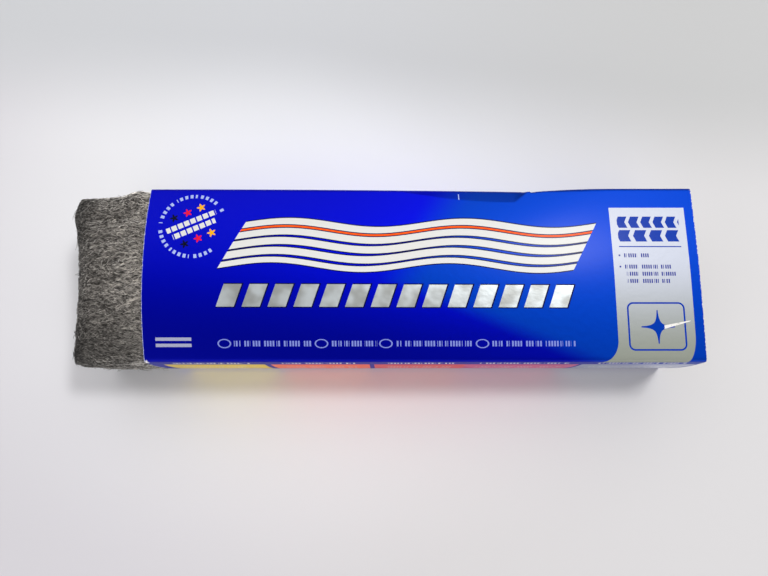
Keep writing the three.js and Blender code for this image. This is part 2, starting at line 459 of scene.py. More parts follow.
def block_lattice(nx, ny, nz):
    """Lattice points on a block's surface and the faces between them, facing out."""
    index = {}

    def at(*corner):
        return index.setdefault(corner, len(index))

    faces = []
    for i in range(nx):
        for j in range(ny):
            faces.append((at(i, j, nz), at(i + 1, j, nz), at(i + 1, j + 1, nz), at(i, j + 1, nz)))
            faces.append((at(i, j, 0), at(i, j + 1, 0), at(i + 1, j + 1, 0), at(i + 1, j, 0)))
    for i in range(nx):
        for k in range(nz):
            faces.append((at(i, 0, k), at(i + 1, 0, k), at(i + 1, 0, k + 1), at(i, 0, k + 1)))
            faces.append((at(i, ny, k), at(i, ny, k + 1), at(i + 1, ny, k + 1), at(i + 1, ny, k)))
    for j in range(ny):
        for k in range(nz):
            faces.append((at(0, j, k), at(0, j, k + 1), at(0, j + 1, k + 1), at(0, j + 1, k)))
            faces.append((at(nx, j, k), at(nx, j + 1, k), at(nx, j + 1, k + 1), at(nx, j, k + 1)))
    return np.array(list(index)), faces


def build_pad(material):
    stations = pad_stations()
    nx, ny, nz = len(stations) - 1, PAD_STEPS_ACROSS, LAYERS * STEPS_PER_LAYER
    corners, faces = block_lattice(nx, ny, nz)
    across, up = 2 * corners[:, 1] / ny - 1, 2 * corners[:, 2] / nz - 1
    points = shape_pad(stations[corners[:, 0]], across, up)
    piece = new_mesh("wool_block", points, faces, [material])
    piece.data.shade_smooth()
    return piece


# Fibres that lie on the pad's shown surfaces

FIBRE_PIECES = 4
FIBRES_PER_PIECE = 4800
FIBRE_SEED = 7
FIBRE_STEPS = 5
FIBRE_STEP_LENGTH = 1.25
STEP_LENGTH_SHARES = (0.5, 1.25)  # and each fibre's share of it
FIBRE_RADIUS = (0.06, 0.12)
FIBRE_END_SHARE = 0.45  # radius of a fibre's ends, as a share
FIBRE_SIDES = 3

# Where they start
START_SCATTER = 0.4
SHOWN_PAST_MOUTH = 3
SHOWN_AT_FAR_END = 12
FOOT_HEIGHT, FOOT_SHARE = 1, 0.25  # below this height only this share of them is grown

# How they run, in radians and millimetres
TILT_SWAY, TILT_GRAIN = 0.34, 0.16  # neighbours tilt alike, in patches this fine
TILT_SPREAD = 0.2
BEND_SPREAD = 0.1
CRIMP, CRIMP_PHASE = 0.65, 2.3
HEADING_KEPT = 0.4  # the rest of it follows the strand
LIFTS = (0, 0.24)
BOB = 0.12
WAVE_STARTS = (0, 6.28)
BOB_PHASES = (1.2, 2.2)
LEAST_HEIGHT = 0.13  # above the table
STRAY_SHARE = 0.15
STRAY_TILT = 0.7
STRAY_RISE = 0.08
UPRIGHT_FROM = 0.01  # this close to a fold's middle height they run upright

# Room to rise beside the card: how far from its edge it starts, and over which length it grows
MOUTH_ROOM = (0.5, 3.5)
FAR_ROOM = (2, 2.5)

# How bright they are, from 0 to 1
MIDDLE_TONE = 0.44
# fibres painted brighter near the mouth, as painted glints
MOUTH_GLINT_TONE, MOUTH_GLINT_PLACE, MOUTH_GLINT_REACH = 0.16, 3, 12
LOCK_TONE = 0.4
LOCK_ALONG, LOCK_ACROSS = 0.9, 2.2  # scale of the noise
FIBRE_TONE_SPREAD = 0.17
POINT_TONE_SPREAD = 0.2


def lobe_centre_height(z):
    """Height of the middle of the fold that a point at this height belongs to, at the free end."""
    size = 2 * HEIGHT / LAYERS
    number = min(max(z // size, 0), LAYERS // 2 - 1)
    return (number + 0.5) * size


def strand_direction(point):
    """Direction in the XZ plane in which the strand runs at a point: along X, and round the folds."""
    centre_x = PAD_FREE + FOLD_DEPTH
    if point.x > centre_x:
        return Vector((1, 0, 0))
    off_z = point.z - lobe_centre_height(point.z)
    if abs(off_z) > UPRIGHT_FROM:
        return Vector((off_z, 0, centre_x - point.x)).normalized()
    return Vector((0, 0, 1))


def shown_faces(points, faces):
    """Middles of the pad's faces, with the chance of each of being a fibre's starting place."""
    corners = points[np.array(faces)]
    middle = corners.mean(axis=1)
    diagonals = corners[:, 2] - corners[:, 0], corners[:, 3] - corners[:, 1]
    area = np.linalg.norm(np.cross(*diagonals), axis=1)
    x, z = middle[:, 0], middle[:, 2]
    shown = (x < MOUTH + SHOWN_PAST_MOUTH) | (x > PAD_HIDDEN - SHOWN_AT_FAR_END)
    weight = np.where(shown, area, 0)
    weight = np.where(z < FOOT_HEIGHT, weight * FOOT_SHARE, weight)
    return middle, weight / weight.sum()


def free_room(x):
    """1 where the pad stands clear of the sleeve, and 0 where the card lies on it."""
    start, reach = MOUTH_ROOM if x < 0 else FAR_ROOM
    clear = MOUTH - start - x if x < 0 else x - PAD_HIDDEN + start
    return min(max(clear / reach, 0), 1)


def grow_fibre(tree, start, rng):
    """Points and normals of one fibre that wanders over the pad's surface."""
    spot, _, _, _ = tree.find_nearest(start)
    flow = strand_direction(spot)
    tilt = TILT_SWAY * noise.noise(spot * TILT_GRAIN) + rng.normal(0, TILT_SPREAD)
    stray = rng.random() < STRAY_SHARE
    if stray:
        tilt += rng.normal(0, STRAY_TILT)
    heading = flow if rng.random() < 0.5 else -flow
    lift = rng.uniform(*LIFTS)
    rise = rng.exponential(STRAY_RISE) if stray else 0
    phase = rng.uniform(*WAVE_STARTS)
    bob_phase = rng.uniform(*BOB_PHASES)
    bend = rng.normal(0, BEND_SPREAD)
    step = FIBRE_STEP_LENGTH * rng.uniform(*STEP_LENGTH_SHARES)
    path = []
    for i in range(FIBRE_STEPS + 1):
        spot, normal, _, _ = tree.find_nearest(spot)
        height = (lift + rise * i + BOB * math.sin(phase + bob_phase * i)) * free_room(spot.x)
        point = spot + normal * height
        point.z = max(point.z, LEAST_HEIGHT)
        path.append((point, normal))
        flow = strand_direction(spot)
        if flow.dot(heading) < 0:
            flow = -flow
        heading = heading * HEADING_KEPT + flow * (1 - HEADING_KEPT)
        heading = (heading - normal * heading.dot(normal)).normalized()
        crimp = CRIMP * math.sin(phase + CRIMP_PHASE * i)
        turned = Matrix.Rotation(tilt + bend * i + crimp, 3, normal) @ heading
        spot = spot + turned * step
    return path


def lock_tone(point):
    """How bright the fibres about a point are: alike in locks, and more at the mouth, as a painted
    glint.
    """
    from_mouth = abs(MOUTH - MOUTH_GLINT_PLACE - point.x)
    at_mouth = MOUTH_GLINT_TONE * max(0, 1 - from_mouth / MOUTH_GLINT_REACH)
    lock = Vector((point.x * LOCK_ALONG, point.y * LOCK_ACROSS, point.z * LOCK_ACROSS))
    return MIDDLE_TONE + at_mouth + LOCK_TONE * noise.noise(lock)


def point_tones(paths, rng):
    """Brightness of each point of each fibre's path."""
    tones = np.array([[lock_tone(point) for point, _ in path] for path in paths])
    by_fibre = rng.normal(0, FIBRE_TONE_SPREAD, (FIBRES_PER_PIECE, 1))
    by_point = rng.normal(0, POINT_TONE_SPREAD, (FIBRES_PER_PIECE, FIBRE_STEPS + 1))
    return np.clip(tones + (by_fibre + by_point), 0, 1)


def unit(vectors):
    return vectors / (np.linalg.norm(vectors, axis=2, keepdims=True) + TINY)


def fibre_tubes(paths, radii):
    """Points and faces of thin three-sided tubes, closed at both ends."""
    at = np.array([[tuple(point) for point, _ in path] for path in paths])
    normal = np.array([[tuple(up) for _, up in path] for path in paths])
    tangent = unit(np.gradient(at, axis=1))
    side = unit(np.cross(tangent, normal))
    upward = np.cross(side, tangent)
    thin = np.ones(FIBRE_STEPS + 1)
    thin[0] = thin[-1] = FIBRE_END_SHARE
    radius = radii[:, None, None] * thin[None, :, None]
    rings = []
    for angle in (math.pi / 2, math.pi * 7 / 6, math.pi * 11 / 6):
        rings.append(at + radius * (math.cos(angle) * side + math.sin(angle) * upward))
    points = np.stack(rings, axis=2).reshape(-1, 3)
    faces = []
    for i in range(len(paths)):
        base = FIBRE_SIDES * (FIBRE_STEPS + 1) * i
        end = base + FIBRE_SIDES * FIBRE_STEPS
        for a in range(base, end, FIBRE_SIDES):
            for k in range(FIBRE_SIDES):
                m = (k + 1) % FIBRE_SIDES
                faces.append((a + k, a + FIBRE_SIDES + k, a + FIBRE_SIDES + m, a + m))
        faces.append((base, base + 1, base + 2))
        faces.append((end + 2, end + 1, end))
    return points, faces


def build_fibres(pad, material):
    flat = np.empty(3 * len(pad.data.vertices))
    pad.data.vertices.foreach_get("co", flat)
    points = flat.reshape(-1, 3) / MM - [SHIFT, 0, 0]
    faces = [tuple(face.vertices) for face in pad.data.polygons]
    tree = BVHTree.FromPolygons([Vector(point) for point in points], faces)
    middle, chance = shown_faces(points, faces)
    rng = np.random.default_rng(FIBRE_SEED)
    pieces = []
    for number in range(FIBRE_PIECES):
        paths = []
        for i in rng.choice(len(faces), FIBRES_PER_PIECE, p=chance):
            start = Vector(middle[i] + rng.normal(0, START_SCATTER, 3))
            paths.append(grow_fibre(tree, start, rng))
        tube_points, tube_faces = fibre_tubes(paths, rng.uniform(*FIBRE_RADIUS, FIBRES_PER_PIECE))
        piece = new_mesh(f"wool_fibres_{number + 1}", tube_points, tube_faces, [material])
        tones = np.repeat(point_tones(paths, rng).ravel(), FIBRE_SIDES)
        mark(piece.data, "fibre_tone", "FLOAT", "POINT", tones.astype(np.float32))
        pieces.append(piece)
    return pieces


# Numbers and colours that vary over a surface, as shader nodes

class Field:
    """A number that varies over a surface. Sums and the like of fields are fields."""

    def __init__(self, nodes, socket):
        self.nodes = nodes
        self.socket = socket

    def math(self, operation, *others):
        node = self.nodes.new("ShaderNodeMath")
        node.operation = operation
        for slot, value in zip(node.inputs, (self, *others)):
            if isinstance(value, Field):
                self.nodes.id_data.links.new(value.socket, slot)
            else:
                slot.default_value = value
        return Field(self.nodes, node.outputs[0])

    def __add__(self, other):
        return self.math("ADD", other)

    def __sub__(self, other):
        return self.math("SUBTRACT", other)

    def __mul__(self, other):
        return self.math("MULTIPLY", other)

    def __truediv__(self, other):
        return self.math("DIVIDE", other)

    __radd__ = __add__

    def size(self):
        return self.math("ABSOLUTE")

    def part(self):
        return self.math("FRACT")

    def scaled(self, factor, shift):
        return self.math("MULTIPLY_ADD", factor, shift)

    def near(self, middle, half):
        """1 within half of middle."""
        return self.math("COMPARE", middle, half)

    def but(self):
        """1 less this field."""
        return self.math("MULTIPLY_ADD", -1, 1)

    def below(self, edge):
        return self.math("LESS_THAN", edge)

    def above(self, edge):
        return self.math("GREATER_THAN", edge)

    def or_more(self, other):
        return self.math("MAXIMUM", other)

    def or_less(self, other):
        return self.math("MINIMUM", other)

    def spread(self, start, end, low=0.0, high=1.0):
        """Goes smoothly from low to high as this field goes from start to end."""
        node = self.nodes.new("ShaderNodeMapRange")
        node.interpolation_type = "SMOOTHSTEP"
        self.nodes.id_data.links.new(self.socket, node.inputs[0])
        for slot, value in zip(node.inputs[1:5], (start, end, low, high)):
            slot.default_value = value
        return Field(self.nodes, node.outputs[0])


def linear(red, green, blue):
    """A colour given from 0 to 255 in display values, as the shaders want it."""
    shares = [c / 255 for c in (red, green, blue)]
    return (*[c / 12.92 if c < 0.04045 else ((c + 0.055) / 1.055) ** 2.4 for c in shares], 1)


class Coat:
    """The finish of a surface, to which layers of print are added one over another."""

    def __init__(self, name):
        self.material = bpy.data.materials.new(name)
        self.material.use_nodes = True
        self.nodes = self.material.node_tree.nodes
        self.links = self.material.node_tree.links
        self.shader = self.nodes["Principled BSDF"]
        self.colour = None
        self.metal = None
        self.rough = None

    def noise(self, vector, scale, detail=2.0, roughness=0.5):
        node = self.nodes.new("ShaderNodeTexNoise")
        self.links.new(vector, node.inputs["Vector"])
        node.inputs["Scale"].default_value = scale
        node.inputs["Detail"].default_value = detail
        node.inputs["Roughness"].default_value = roughness
        return Field(self.nodes, node.outputs[0])

    def mix_colours(self, share, under, over):
        node = self.nodes.new("ShaderNodeMix")
        node.data_type = "RGBA"
        self.links.new(share.socket, node.inputs[0])
        for slot, colour in ((node.inputs[6], under), (node.inputs[7], over)):
            if isinstance(colour, tuple):
                slot.default_value = colour
            else:
                self.links.new(colour, slot)
        return node.outputs[2]

    def mix_numbers(self, share, under, over):
        node = self.nodes.new("ShaderNodeMix")
        self.links.new(share.socket, node.inputs[0])
        self.links.new(under.socket, node.inputs[2])
        node.inputs[3].default_value = over
        return Field(self.nodes, node.outputs[0])

    def start(self, colour, metal, rough, zero):
        """zero is a field that is 0 all over, from which the metal and roughness begin."""
        self.colour = colour
        self.metal = zero + metal
        self.rough = zero + rough

    def lay(self, share, colour, metal=0.0, rough=0.3):
        """Prints colour where share is 1."""
        self.colour = self.mix_colours(share, self.colour, colour)
        self.metal = self.mix_numbers(share, self.metal, metal)
        self.rough = self.mix_numbers(share, self.rough, rough)

    def finish(self):
        self.links.new(self.colour, self.shader.inputs["Base Color"])
        if self.metal is not None:
            self.links.new(self.metal.socket, self.shader.inputs["Metallic"])
            self.links.new(self.rough.socket, self.shader.inputs["Roughness"])
        return self.material

    def settle(self, values):
        """Sets numbers of the shader itself, by name."""
        for name, value in values.items():
            self.shader.inputs[name].default_value = value

    def bump(self, height, distance):
        node = self.nodes.new("ShaderNodeBump")
        node.inputs["Distance"].default_value = distance
        self.links.new(height.socket, node.inputs["Height"])
        self.links.new(node.outputs[0], self.shader.inputs["Normal"])

    def object_place(self):
        """Places on the object, in metres."""
        return self.nodes.new("ShaderNodeTexCoord").outputs["Object"]

    def marked(self, name):
        """The node that reads what mark gave a mesh under this name."""
        node = self.nodes.new("ShaderNodeAttribute")
        node.attribute_name = name
        return node


def separate(nodes, vector):
    node = nodes.new("ShaderNodeSeparateXYZ")
    nodes.id_data.links.new(vector, node.inputs[0])
    return [Field(nodes, socket) for socket in node.outputs]


def squares(first, second):
    return first * first + second * second


def reach_of(first, second):
    """Distance from the place where both are 0."""
    return squares(first, second).math("SQRT")


# Shapes of the print: each is 1 inside and 0 outside, in millimetres

LETTER_PITCH = 1.3
LETTER_FILL = 0.6
WORDS = ((9.3, 0.87), (5.7, 0.88))  # two even rows of words: pitch, and share before the gap
STAR_DEPTH = 0.7  # depth of the notches between a star's points, as a share of its radius


def span(field, low, high):
    return field.near((low + high) / 2, (high - low) / 2)


def box(u, v, low_u, high_u, low_v, high_v):
    return span(u, low_u, high_u) * span(v, low_v, high_v)


def strip(u, v, low_u, high_u, middle, half):
    return box(u, v, low_u, high_u, middle - half, middle + half)


def round_box(u, v, low_u, high_u, low_v, high_v, corner):
    off_u = (u - (low_u + high_u) / 2).size() - ((high_u - low_u) / 2 - corner)
    off_v = (v - (low_v + high_v) / 2).size() - ((high_v - low_v) / 2 - corner)
    return squares(off_u.or_more(0), off_v.or_more(0)).below(corner**2)


def rim(u, v, low_u, high_u, low_v, high_v, corner, line):
    """The outline of a rounded rectangle."""
    outer = round_box(u, v, low_u, high_u, low_v, high_v, corner)
    inner = round_box(u, v, low_u + line, high_u - line, low_v + line, high_v - line, corner - line)
    return outer - inner


def repeats(field, pitch, start, fill):
    """1 over a share fill of each pitch, counted from start."""
    return field.scaled(1 / pitch, -start / pitch).part().below(fill)


def letters(u, pitch=LETTER_PITCH):
    """Upright strokes along u, in groups of uneven length, that stand for small print."""
    printed = repeats(u, pitch, 0, LETTER_FILL)
    for length, share in WORDS:
        printed = printed * repeats(u, length, 0, share)
    return printed


def rows(v, start, pitch, half):
    """Even rows across v: 1 within half of the middle of each."""
    return v.scaled(1 / pitch, 0.5 - start / pitch).part().near(0.5, half / pitch)


def star(u, v, radius):
    """A five-pointed star about the place where u and v are 0."""
    reach = reach_of(u, v)
    turn = u.math("ARCTAN2", v) * (5 / (2 * math.pi))
    at_tip = (turn.part() - 0.5).size() * 2
    return (reach + at_tip.but() * (radius * STAR_DEPTH)).below(radius)


# Print of the sleeve, with painted shade and sheen in its blue and its silver panel. Places are in
# millimetres: u along the sleeve, v round it from the top's middle.

BLUE_LEFT = linear(0, 8, 190)
# the blue darkened toward the front by painted shade
SHADED_FRONT_BLUE = linear(0, 6, 150)
# blue of the panel's print, and also the painted sheen toward the right of the top
PANEL_PRINT_AND_SHEEN_BLUE = linear(0, 53, 162)
NAVY = linear(6, 8, 70)
BLACK = linear(8, 10, 20)
WHITE = linear(222, 221, 218)
PALE_BLUE = linear(170, 185, 235)
DIM_BLUE = linear(124, 136, 206)
DARK_BLUE = linear(34, 44, 140)
SILVER = linear(196, 202, 204)
DULL_SILVER = linear(160, 162, 160)
# the silver panel's colour, with a painted reflection: lighter at its head, darker at its foot
PANEL_PAINTED_LIT_HEAD = linear(180, 184, 196)
PANEL_PAINTED_SHADED_FOOT = linear(140, 144, 134)
DIM_SILVER = linear(158, 160, 186)
MAGENTA = linear(208, 44, 128)
BLUE_SILVER = linear(158, 164, 190)
ORANGE = linear(255, 92, 14)
YELLOW = linear(240, 208, 0)
RED = linear(228, 24, 52)
GOLD = linear(255, 178, 10)
CARD_WHITE = linear(232, 229, 224)

SHADE_HEAD, SHADE_FOOT = 8, -42  # between these heights painted shade darkens the blue and the silver panel toward the front
PAINTED_SHEEN_FROM = -4  # painted sheen: the lighter blue at the right starts furthest left at this height
PAINTED_SHEEN_SLOPE_BELOW, PAINTED_SHEEN_SLOPE_ABOVE = -2.4, 0.6
PAINTED_SHEEN_FADE = (-24, 3)
BLUE_METAL, BLUE_ROUGH = 0.8, 0.52
PRINT_GLOSS = {"Specular IOR Level": 0.02, "Coat Weight": 0.06, "Coat Roughness": 0.2}
CARD_WAVE_HEIGHT = 0.00008  # in metres
FINE_WAVE_SHARE = 0.25

RIBBON_START, RIBBON_END = -96, 70
RIBBON_WAVE = 83
RIBBON_SWING = 2.2
RIBBON_SLANT = 0.55
RIBBONS = (  # middle height, half thickness, start of its wave in turns
    (22.0, 1.7, 0.00),
    (17.2, 1.8, 0.03),
    (12.4, 1.7, 0.05),
    (7.6, 1.7, 0.08),
    (3.2, 1.3, 0.10),
)
THIN_RIBBON = (19.6, 0.45, 0.02)
RIBBON_LINE = 0.5

BLOCK_ROW = (-96, 70, -17.0, -5.6)
BLOCK_PITCH = 11.86
BLOCK_FILL = 0.70
BLOCK_LINE = 0.06  # share of the pitch that the dark line beside a block takes
BLOCK_SLANT = 0.35

BADGE_PLACE = (-107.8, 22.0)
BADGE_RADIUS, BADGE_RING_HALF = 15.2, 0.9
BADGE_DASHES = 38
BADGE_DASH_FILL = 0.55
BADGE_WORD, BADGE_WORD_FILL = 4.6, 0.86  # dashes to a word, and the share of it that is printed
BADGE_TURN = math.radians(24.5)
BADGE_GAP = (math.radians(-52), math.radians(25))
BADGE_BARS = ((2.1, 12.2), (-1.9, 10.5))  # middle height and half length
BAR_HALF = 1.3
BAR_PITCH, BAR_FILL = 3.1, 0.78
STAR_SPACING, STAR_ROW = 6.7, 7.1
STAR_RADIUS = 2.2
STAR_COLUMNS = 3

PANEL_LEFT, PANEL_RIGHT, PANEL_TOP, PANEL_BOTTOM = 89.7, 125.6, 31.6, -43
PANEL_FLARE = (-31.5, 10, 7.5)  # its left edge curves out: from which height, over which, how far
PANEL_CURVE = (-29, 13, 5)  # its right edge curves in: the same
PANEL_ROWS = ((24.4, 5.85), (17.7, 7.6))  # middle height and pitch of its chevrons
CHEVRON_ENDS = (93, 122.5)
CHEVRON_HALF = 2.8
CHEVRON_START, CHEVRON_FILL, CHEVRON_LEAN = 92.5, 0.7, 0.45
PANEL_RULE = (93, 122.5, 12.2, 12.7)
PANEL_LINES = ((8.2, 95, 107), (2.8, 95, 117), (-0.6, 95.5, 119), (-4.0, 95.5, 116))
PANEL_LINE_HALF, PANEL_LETTER_PITCH = 0.95, 1.0
PANEL_DOTS = (8.2, 2.8)
DOT_ENDS, DOT_HALF = (92.4, 93.2), 0.4
SPARKLE_FRAME = (94.5, 121.5, -36.5, -14, 3, 0.8)  # its ends, corner radius and line
SPARKLE_PLACE = (108.5, -25.5)
SPARKLE_WIDEN, SPARKLE_AREA, SPARKLE_REACH = 0.3, 4.5, 8.5

SMALL_ROW, SMALL_HALF = -33.2, 1.25
SMALL_RINGS = (-92.4, -47.7, -18.0, 26.6)
RING_HALF_LENGTH, RING_HALF_HEIGHT = 3.2, 2.1
RING_MIDDLE, RING_HALF_LINE = 0.88, 0.1  # as shares of the half sizes
SMALL_WORDS = ((-88, -52), (-43, -22), (-13.5, 22), (31, 70))
LEFT_MARK = (-124, -107.5, -35.2, -30.0)
LEFT_MARK_ROWS = (-31.2, 2.8, 0.75)

FRONT_TOP, FRONT_BOTTOM = -49.5, -88
FRONT_FIELDS = (
    (-124.0, -75.8, YELLOW),
    (-73.0, -26.0, ORANGE),
    (-23.8, 20, RED),
    (20, 73.6, MAGENTA),
    (75.0, 129.0, BLUE_SILVER),
)
FRONT_MARGIN = 6
FRONT_HEADING = (-45.8, 1.2)
FRONT_ROWS = (-60, 6.5, 0.9)
FRONT_ROWS_ENDS = (-82, -57)
FRONT_LETTER_PITCH = 1.6

# White card shows where nearness to an edge and shares of two grains add up to a least sum
FOLD_LINES = (HALF_WIDTH - 0.4, -HALF_WIDTH - 0.2)
FOLD_WEAR_REACH = (1.3, 0.1)
FOLD_WEAR = (0.9, 0.3, 1.76)  # both shares and the sum
MOUTH_WEAR_INSET = 0.1
MOUTH_WEAR_REACH = (0.7, 0)
MOUTH_WEAR = (0.8, 0.4, 1.62)
MOUTH_HIGHLIGHT_LINE = 0.25
TICK = (18.0, 18.45, 35.6, 39.1)
SCUFF_BOX = (111.5, 123.7, -27, -21)
SCUFF_START, SCUFF_DROP, SCUFF_SLOPE = 112, 25.5, 0.24
SCUFF_HALF, SCUFF_THINS_FROM, SCUFF_THINNING, SCUFF_LEAST = 0.75, 113, 0.05, 0.8
WORN_CORNER, WORN_CORNER_RADIUS = (-130.6, -42.2), 2.4
WORN_CORNER_LEAST = 0.97


def wave_height(u, middle, turn):
    """Height of the middle line of a ribbon at each place along the sleeve."""
    angle = u * (2 * math.pi / RIBBON_WAVE) + turn * 2 * math.pi
    return angle.math("SINE") * RIBBON_SWING + middle


def print_ribbons(coat, u, v):
    length = span(u - v * RIBBON_SLANT, RIBBON_START, RIBBON_END)
    for colour, ribbons in ((WHITE, RIBBONS), (ORANGE, (THIN_RIBBON,))):
        for middle, half, turn in ribbons:
            off = (v - wave_height(u, middle, turn)).size()
            coat.lay(length * off.below(half + RIBBON_LINE), NAVY)
            coat.lay(length * off.below(half), colour, rough=0.45)


def print_blocks(coat, u, v, silver):
    low_u, high_u, low_v, high_v = BLOCK_ROW
    slanted = u - (v - low_v) * BLOCK_SLANT
    inside = box(slanted, v, low_u, high_u, low_v, high_v)
    across = slanted.scaled(1 / BLOCK_PITCH, -low_u / BLOCK_PITCH).part()
    coat.lay(inside * across.below(BLOCK_FILL + BLOCK_LINE), NAVY)
    core = span(v, low_v + RIBBON_LINE, high_v - RIBBON_LINE)
    coat.lay(inside * core * across.below(BLOCK_FILL), silver, metal=0.5, rough=0.4)


def print_badge(coat, u, v):
    centre_u, centre_v = BADGE_PLACE
    off_u, off_v = u - centre_u, v - centre_v
    turn = off_v.math("ARCTAN2", off_u)
    gap = span(turn, *BADGE_GAP)
    step = turn * (BADGE_DASHES / (2 * math.pi))
    dashes = step.part().below(BADGE_DASH_FILL) * (step / BADGE_WORD).part().below(BADGE_WORD_FILL)
    ring = reach_of(off_u, off_v).near(BADGE_RADIUS, BADGE_RING_HALF)
    coat.lay(ring * dashes * gap.but(), PALE_BLUE)

    cosine, sine = math.cos(BADGE_TURN), math.sin(BADGE_TURN)
    along = off_u * cosine + off_v * sine
    across = off_v * cosine - off_u * sine
    for middle, half in BADGE_BARS:
        bar = strip(along, across, -half, half, middle, BAR_HALF)
        coat.lay(bar * along.scaled(1 / BAR_PITCH, middle).part().below(BAR_FILL), WHITE)
    from_column = along - (along / STAR_SPACING).math("ROUND") * STAR_SPACING
    from_row = across - across.math("SIGN") * STAR_ROW
    half_row = STAR_COLUMNS / 2 * STAR_SPACING
    columns = span(along, -half_row, half_row)
    stars = star(from_column, from_row, STAR_RADIUS) * columns
    coat.lay(stars, BLACK)
    coat.lay(stars * along.above(-STAR_SPACING / 2), RED)
    coat.lay(stars * along.above(STAR_SPACING / 2), GOLD)


def round_in(v, start, reach, depth):
    """How far an edge has curved in below a start, by depth in all over reach."""
    share = ((v - start) / -reach).or_more(0).or_less(1)
    return (share * share).but().math("SQRT").but() * depth


def print_panel(coat, u, v):
    # painted reflection on the silver panel: lighter at its head, darker at its foot
    silver = coat.mix_colours(v.spread(SHADE_FOOT, SHADE_HEAD), PANEL_PAINTED_SHADED_FOOT, PANEL_PAINTED_LIT_HEAD)
    left_edge = round_in(v, *PANEL_FLARE) * -1 + PANEL_LEFT
    right_edge = round_in(v, *PANEL_CURVE) * -1 + PANEL_RIGHT
    inside = span(v, PANEL_BOTTOM, PANEL_TOP) * (u - left_edge).above(0) * (u - right_edge).below(0)
    coat.lay(inside, silver, metal=0.3, rough=0.5)
    for middle, pitch in PANEL_ROWS:
        row = strip(u, v, *CHEVRON_ENDS, middle, CHEVRON_HALF)
        chevron = u - (v - middle).size() * CHEVRON_LEAN
        coat.lay(row * repeats(chevron, pitch, CHEVRON_START, CHEVRON_FILL), PANEL_PRINT_AND_SHEEN_BLUE)
    coat.lay(box(u, v, *PANEL_RULE), PANEL_PRINT_AND_SHEEN_BLUE)
    lines = [strip(u, v, *ends, middle, PANEL_LINE_HALF) for middle, *ends in PANEL_LINES]
    coat.lay(sum(lines) * letters(u, PANEL_LETTER_PITCH), DARK_BLUE)
    dots = [strip(u, v, *DOT_ENDS, middle, DOT_HALF) for middle in PANEL_DOTS]
    coat.lay(sum(dots), DARK_BLUE)
    coat.lay(rim(u, v, *SPARKLE_FRAME), PANEL_PRINT_AND_SHEEN_BLUE)
    off_u, off_v = ((at - middle).size() + SPARKLE_WIDEN for at, middle in zip((u, v), SPARKLE_PLACE))
    coat.lay((off_u * off_v).below(SPARKLE_AREA) * (off_u + off_v).below(SPARKLE_REACH), PANEL_PRINT_AND_SHEEN_BLUE)


def print_small_rows(coat, u, v):
    from_ring = (u - SMALL_RINGS[0]).size()
    for place in SMALL_RINGS[1:]:
        from_ring = from_ring.or_less((u - place).size())
    reach = reach_of(from_ring / RING_HALF_LENGTH, (v - SMALL_ROW) / RING_HALF_HEIGHT)
    rings = reach.near(RING_MIDDLE, RING_HALF_LINE)
    words = sum(span(u, *ends) for ends in SMALL_WORDS)
    line = v.near(SMALL_ROW, SMALL_HALF)
    coat.lay(rings + words * line * letters(u), DIM_BLUE)
    coat.lay(box(u, v, *LEFT_MARK) * rows(v, *LEFT_MARK_ROWS), DIM_SILVER)


def print_front(coat, u, v):
    for first, last, colour in FRONT_FIELDS:
        coat.lay(box(u, v, first, last, FRONT_BOTTOM, FRONT_TOP), colour, metal=0.8, rough=0.3)
    clear = sum(span(u, first + FRONT_MARGIN, last - FRONT_MARGIN) for first, last, _ in FRONT_FIELDS)
    small = rows(v, *FRONT_ROWS) * span(v, *FRONT_ROWS_ENDS)
    heading = v.near(*FRONT_HEADING)
    coat.lay(clear * letters(u, FRONT_LETTER_PITCH) * (small + heading), WHITE)


def print_wear_and_edge_highlight(coat, u, v, vector):
    """A dim blue line at the near mouth, partly the card's cut edge and partly a painted highlight on
    it, a pale tick, and edges, a scuff and a corner worn to white card.
    """
    grain = coat.noise(vector, scale=0.9, detail=4)
    fine = coat.noise(vector, scale=3.5, detail=3)

    def wear(near, grain_share, fine_share, least):
        worn = near + grain * grain_share + fine * fine_share
        coat.lay(worn.above(least), CARD_WHITE, rough=0.7)

    for fold_v in FOLD_LINES:
        wear((v - fold_v).size().spread(*FOLD_WEAR_REACH), *FOLD_WEAR)
    # the dim blue line along the near mouth, partly a painted highlight of the card's cut edge
    coat.lay(u.below(MOUTH + MOUTH_HIGHLIGHT_LINE), DIM_BLUE, rough=0.7)
    from_mouth = (u.size() - (FAR_MOUTH - MOUTH_WEAR_INSET)).size()
    wear(from_mouth.spread(*MOUTH_WEAR_REACH), *MOUTH_WEAR)
    coat.lay(box(u, v, *TICK), PALE_BLUE, rough=0.6)
    from_line = (v - (u - SCUFF_START) * SCUFF_SLOPE + SCUFF_DROP).size()
    from_line = from_line + (u - SCUFF_THINS_FROM) * SCUFF_THINNING
    scuff = from_line.below(SCUFF_HALF) * box(u, v, *SCUFF_BOX) * (grain + fine).above(SCUFF_LEAST)
    coat.lay(scuff, CARD_WHITE, rough=0.6)
    corner = squares(u - WORN_CORNER[0], v - WORN_CORNER[1]).below(WORN_CORNER_RADIUS**2)
    coat.lay(corner * (grain + fine).above(WORN_CORNER_LEAST), CARD_WHITE, rough=0.7)


